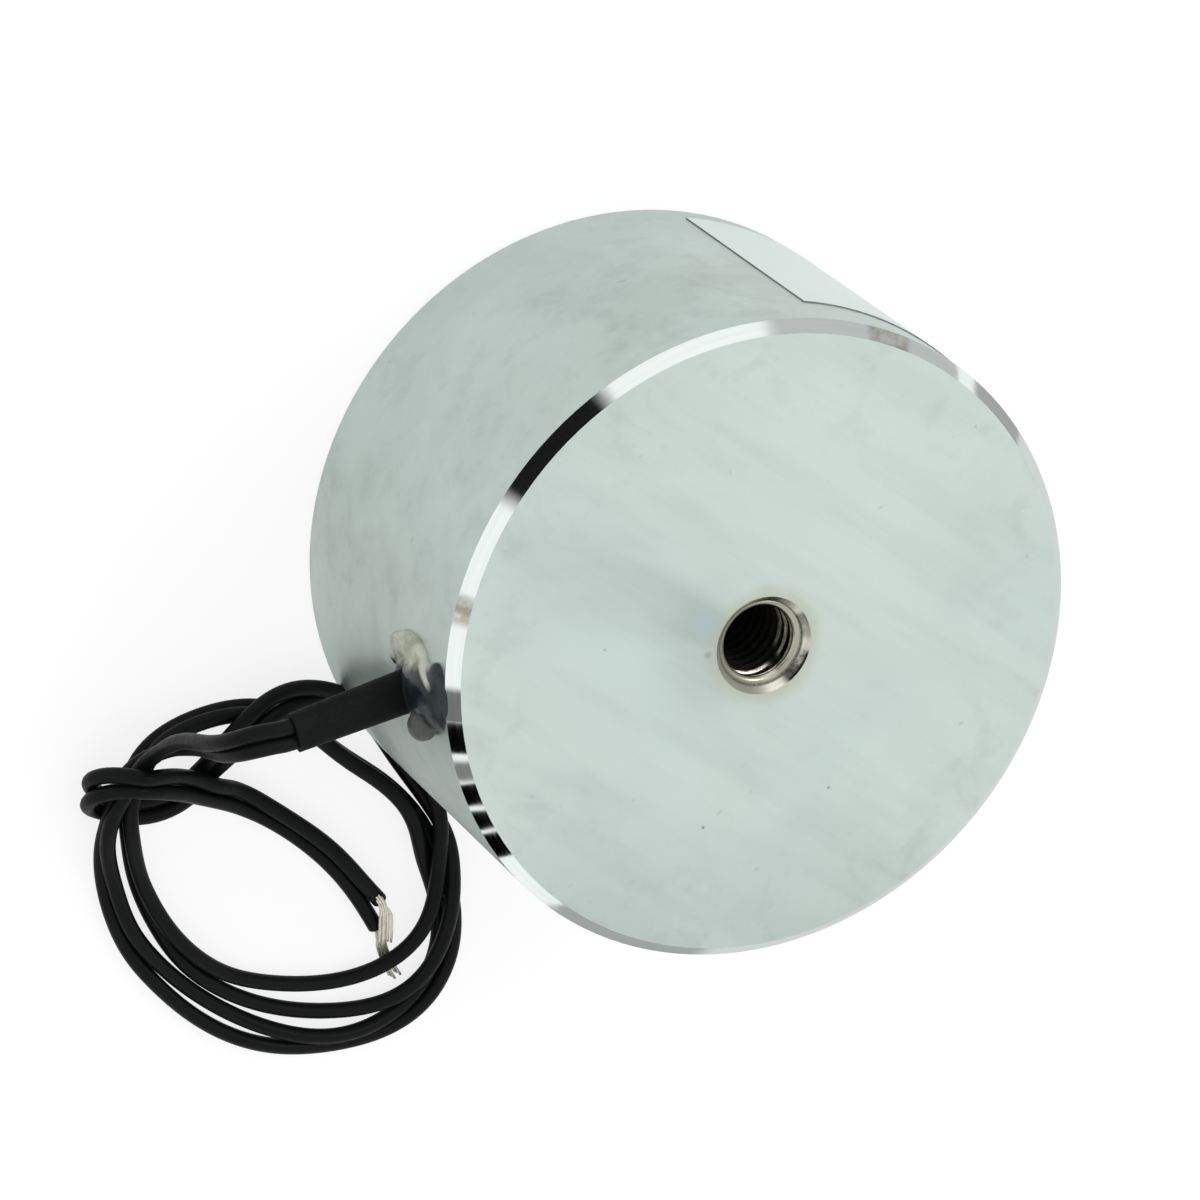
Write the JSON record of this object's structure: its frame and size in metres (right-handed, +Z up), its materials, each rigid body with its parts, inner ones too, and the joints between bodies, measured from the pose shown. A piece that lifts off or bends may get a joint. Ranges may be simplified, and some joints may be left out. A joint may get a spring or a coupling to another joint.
{
  "type": "holding electromagnet",
  "caption": "Round pot-type DC holding electromagnet for a robot gripper, with a flat pole face, a central tapped mounting hole and two loose black leads.",
  "frame": {"origin": "centre of the flat pole face, on the magnet's axis", "axes": "+Z up along the magnet's axis and out through the tapped hole, +X towards the side where the leads leave"},
  "size_m": [0.0855, 0.0758, 0.034],
  "materials": {
    "zinc_steel": "bright zinc plate over turned steel, satin with cloudy streaks",
    "former_plastic": "moulded nylon",
    "copper": "enamelled copper wire",
    "tape": "polyester tape",
    "resin": "cast epoxy",
    "tinned": "tinned copper",
    "joint_sleeving": "shrunk sleeving",
    "lead_black": "soft satin insulation",
    "sleeve_black": "matt shrunk sleeve",
    "glue": "milky hot glue",
    "label": "clear film, blank"
  },
  "bodies": {
    "root": {"pot_body": "zinc_steel", "bobbin": "former_plastic", "winding": "copper", "winding_tape": "tape", "potting_ring": "resin", "wire_end_a": "copper", "wire_end_b": "copper", "solder_joint_a": "tinned", "solder_joint_b": "tinned", "joint_sleeve_a": "joint_sleeving", "joint_sleeve_b": "joint_sleeving", "lead_run_a": "lead_black", "lead_run_b": "lead_black", "exit_sleeve": "sleeve_black", "glue_bead": "glue", "label_film": "label", "lead_drop_a": "lead_black", "lead_drop_b": "lead_black", "lead_coil": "lead_black", "lead_tail_a": "lead_black", "lead_tail_b": "lead_black", "strands_a": "tinned", "strands_b": "tinned"}
  },
  "joints": []
}
